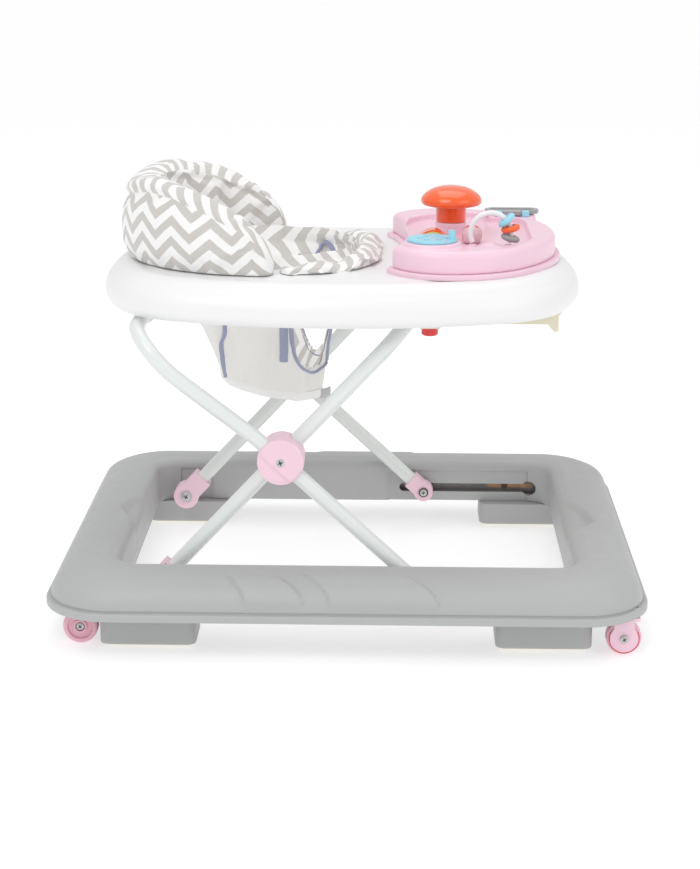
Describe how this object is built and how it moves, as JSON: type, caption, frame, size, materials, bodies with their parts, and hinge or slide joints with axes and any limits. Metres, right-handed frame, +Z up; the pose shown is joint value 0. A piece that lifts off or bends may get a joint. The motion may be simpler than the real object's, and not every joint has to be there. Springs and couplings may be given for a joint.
{
  "type": "baby walker",
  "caption": "Folding baby walker: ring-shaped base on wheels and casters, scissor tube frame, oval tray with padded seat, fabric pouch and clip-on toy tray.",
  "frame": {"origin": "on the floor under the centre of the base", "axes": "+X towards the front (toy tray side), +Y to the child's left, +Z up"},
  "size_m": [0.706, 0.6, 0.531],
  "materials": {
    "base_grey": "satin moulded polypropylene",
    "sole_cream": "soft ribbed rubber",
    "steel": "zinc plated",
    "frame_paint": "off-white powder coat, gloss",
    "hub_pink": "satin moulded plastic",
    "wheel_pink": "satin moulded plastic",
    "nylon_brown": "satin nylon",
    "tray_white": "gloss moulded plastic",
    "cream": "natural polymer, satin",
    "button_red": "gloss moulded plastic",
    "toy_pink": "satin moulded plastic",
    "orange": "gloss moulded plastic",
    "light_blue": "gloss moulded plastic",
    "toy_grey": "gloss moulded plastic",
    "mirror": "mirror film",
    "ball_clear": "tinted clear plastic",
    "fabric_chevron": "printed woven polyester, chevron stripes",
    "fabric_plain": "coated woven polyester"
  },
  "bodies": {
    "base": {"base_shell": "base_grey", "caster_sockets": "steel", "slide_track_left": "steel", "slide_track_right": "steel", "stopper_front_left": "base_grey", "stopper_front_right": "base_grey", "stopper_rear_left": "base_grey", "stopper_rear_right": "base_grey", "stopper_soles": "sole_cream", "rear_wheel_bracket_left": "base_grey", "rear_wheel_bracket_right": "base_grey", "rear_axles": "steel", "base_pivot_pins": "steel"},
    "front_frame": {"front_frame_tube": "frame_paint", "inner_hub_left": "hub_pink", "inner_hub_right": "hub_pink", "pivot_bracket_left": "hub_pink", "pivot_bracket_right": "hub_pink", "hub_bolts": "steel"},
    "rear_frame": {"rear_frame_tube": "frame_paint", "outer_hub_left": "hub_pink", "outer_hub_right": "hub_pink", "slide_bracket_left": "hub_pink", "slide_bracket_right": "hub_pink"},
    "tray": {"tray_shell": "tray_white", "frame_clips": "tray_white", "height_rack": "cream", "toy_tray_base": "toy_pink", "toy_tray_cover": "toy_pink", "bead_arch": "tray_white", "backrest_pad": "fabric_chevron", "seat_collar": "fabric_chevron", "seat_pouch": "fabric_plain", "mirror_hinge": "light_blue", "button_spring": "steel"},
    "mushroom_knob": {"mushroom_knob": "orange"},
    "dial": {"dial_disc": "light_blue"},
    "wave_paddle": {"wave_paddle": "orange"},
    "rattle_ball": {"rattle_ball": "ball_clear"},
    "dome_button": {"dome_button": "toy_pink"},
    "mirror": {"mirror_frame": "toy_grey", "mirror_plate": "mirror"},
    "bead_blue": {"bead_ring_blue": "light_blue"},
    "bead_orange": {"bead_ring_orange": "orange"},
    "bead_grey": {"bead_ring_grey": "toy_grey"},
    "slide_shoe_left": {"slide_shoe_left": "nylon_brown"},
    "lock_clamp_left": {"lock_clamp_left": "cream"},
    "lock_button_left": {"lock_button_left": "button_red"},
    "rear_wheel_left": {"rear_wheel_left": "wheel_pink"},
    "caster_left": {"caster_fork_left": "hub_pink", "caster_axle_left": "steel"},
    "caster_wheel_left": {"caster_wheel_left": "wheel_pink"},
    "slide_shoe_right": {"slide_shoe_right": "nylon_brown"},
    "lock_clamp_right": {"lock_clamp_right": "cream"},
    "lock_button_right": {"lock_button_right": "button_red"},
    "rear_wheel_right": {"rear_wheel_right": "wheel_pink"},
    "caster_right": {"caster_fork_right": "hub_pink", "caster_axle_right": "steel"},
    "caster_wheel_right": {"caster_wheel_right": "wheel_pink"}
  },
  "joints": [
    {"name": "fold", "type": "hinge", "parent": "base", "child": "front_frame", "pos_m": [-0.229, 0, 0.05], "axis": [0, 1, 0], "range_deg": [0, 33]},
    {"name": "scissor_pivot", "type": "hinge", "parent": "front_frame", "child": "rear_frame", "pos_m": [-0.077, 0, 0.213], "axis": [0, 1, 0], "range_deg": [-63.77, 0]},
    {"name": "tray_pivot", "type": "hinge", "parent": "rear_frame", "child": "tray", "pos_m": [-0.247, 0, 0.361], "axis": [0, 1, 0], "range_deg": [0, 32.27]},
    {"name": "shoe_pivot_left", "type": "hinge", "parent": "rear_frame", "child": "slide_shoe_left", "pos_m": [0.096, 0.205, 0.0526], "axis": [0, 1, 0], "range_deg": [0, 30.77]},
    {"name": "clamp_pivot_left", "type": "hinge", "parent": "front_frame", "child": "lock_clamp_left", "pos_m": [0.08709, 0.097, 0.38896], "axis": [0, 1, 0], "range_deg": [-32, 0]},
    {"name": "lock_press_left", "type": "slide", "parent": "lock_clamp_left", "child": "lock_button_left", "axis": [0, 0, 1], "range_m": [0, 0.0045], "stiffness_N_per_m": 400},
    {"name": "rear_wheel_spin_left", "type": "hinge", "parent": "base", "child": "rear_wheel_left", "pos_m": [-0.311, 0.24, 0.0205], "axis": [0, 1, 0], "continuous": true},
    {"name": "caster_swivel_left", "type": "hinge", "parent": "base", "child": "caster_left", "pos_m": [0.334, 0.258, 0.046], "axis": [0, 0, 1], "continuous": true},
    {"name": "caster_spin_left", "type": "hinge", "parent": "caster_left", "child": "caster_wheel_left", "pos_m": [0.322, 0.258, 0.0205], "axis": [0, 1, 0], "continuous": true},
    {"name": "shoe_pivot_right", "type": "hinge", "parent": "rear_frame", "child": "slide_shoe_right", "pos_m": [0.096, -0.205, 0.0526], "axis": [0, 1, 0], "range_deg": [0, 30.77]},
    {"name": "clamp_pivot_right", "type": "hinge", "parent": "front_frame", "child": "lock_clamp_right", "pos_m": [0.08709, -0.097, 0.38896], "axis": [0, 1, 0], "range_deg": [-32, 0]},
    {"name": "lock_press_right", "type": "slide", "parent": "lock_clamp_right", "child": "lock_button_right", "axis": [0, 0, 1], "range_m": [0, 0.0045], "stiffness_N_per_m": 400},
    {"name": "rear_wheel_spin_right", "type": "hinge", "parent": "base", "child": "rear_wheel_right", "pos_m": [-0.311, -0.24, 0.0205], "axis": [0, 1, 0], "continuous": true},
    {"name": "caster_swivel_right", "type": "hinge", "parent": "base", "child": "caster_right", "pos_m": [0.334, -0.258, 0.046], "axis": [0, 0, 1], "continuous": true},
    {"name": "caster_spin_right", "type": "hinge", "parent": "caster_right", "child": "caster_wheel_right", "pos_m": [0.322, -0.258, 0.0205], "axis": [0, 1, 0], "continuous": true},
    {"name": "knob_spin", "type": "hinge", "parent": "tray", "child": "mushroom_knob", "pos_m": [0.122, 0, 0.47], "axis": [0, 0, 1], "continuous": true},
    {"name": "dial_spin", "type": "hinge", "parent": "tray", "child": "dial", "pos_m": [0.097, -0.118, 0.458], "axis": [0, 0, 1], "continuous": true},
    {"name": "wave_rock", "type": "hinge", "parent": "tray", "child": "wave_paddle", "pos_m": [0.102, -0.05, 0.444], "axis": [1, 0, 0], "range_deg": [-20, 20]},
    {"name": "ball_spin", "type": "hinge", "parent": "tray", "child": "rattle_ball", "pos_m": [0.146, -0.05, 0.452], "axis": [1, 0, 0], "continuous": true},
    {"name": "dome_press", "type": "slide", "parent": "tray", "child": "dome_button", "axis": [0, 0, -1], "range_m": [0, 0.003], "stiffness_N_per_m": 300, "deforming": ["button_spring"]},
    {"name": "mirror_flip", "type": "hinge", "parent": "tray", "child": "mirror", "pos_m": [0.202, 0.096, 0.4558], "axis": [1, 0, 0], "range_deg": [0, 100]},
    {"name": "bead_travel", "type": "hinge", "parent": "tray", "child": "bead_blue", "pos_m": [0.167, -0.084, 0.461], "axis": [0, -1, 0], "range_deg": [0, 78]},
    {"name": "bead_follow_orange", "type": "hinge", "parent": "tray", "child": "bead_orange", "pos_m": [0.167, -0.084, 0.461], "axis": [0, -1, 0], "range_deg": [0, 78.5]},
    {"name": "bead_follow_grey", "type": "hinge", "parent": "tray", "child": "bead_grey", "pos_m": [0.167, -0.084, 0.461], "axis": [0, -1, 0], "range_deg": [0, 78.5]}
  ],
  "couplings": [
    {"joint": "scissor_pivot", "follows": "fold", "ratio": -1.9173},
    {"joint": "tray_pivot", "follows": "fold", "ratio": 0.9627},
    {"joint": "shoe_pivot_left", "follows": "fold", "ratio": 0.91733},
    {"joint": "clamp_pivot_left", "follows": "fold", "ratio": -0.95463},
    {"joint": "shoe_pivot_right", "follows": "fold", "ratio": 0.91733},
    {"joint": "clamp_pivot_right", "follows": "fold", "ratio": -0.95463},
    {"joint": "bead_follow_orange", "follows": "bead_travel", "ratio": 1},
    {"joint": "bead_follow_grey", "follows": "bead_travel", "ratio": 1}
  ]
}
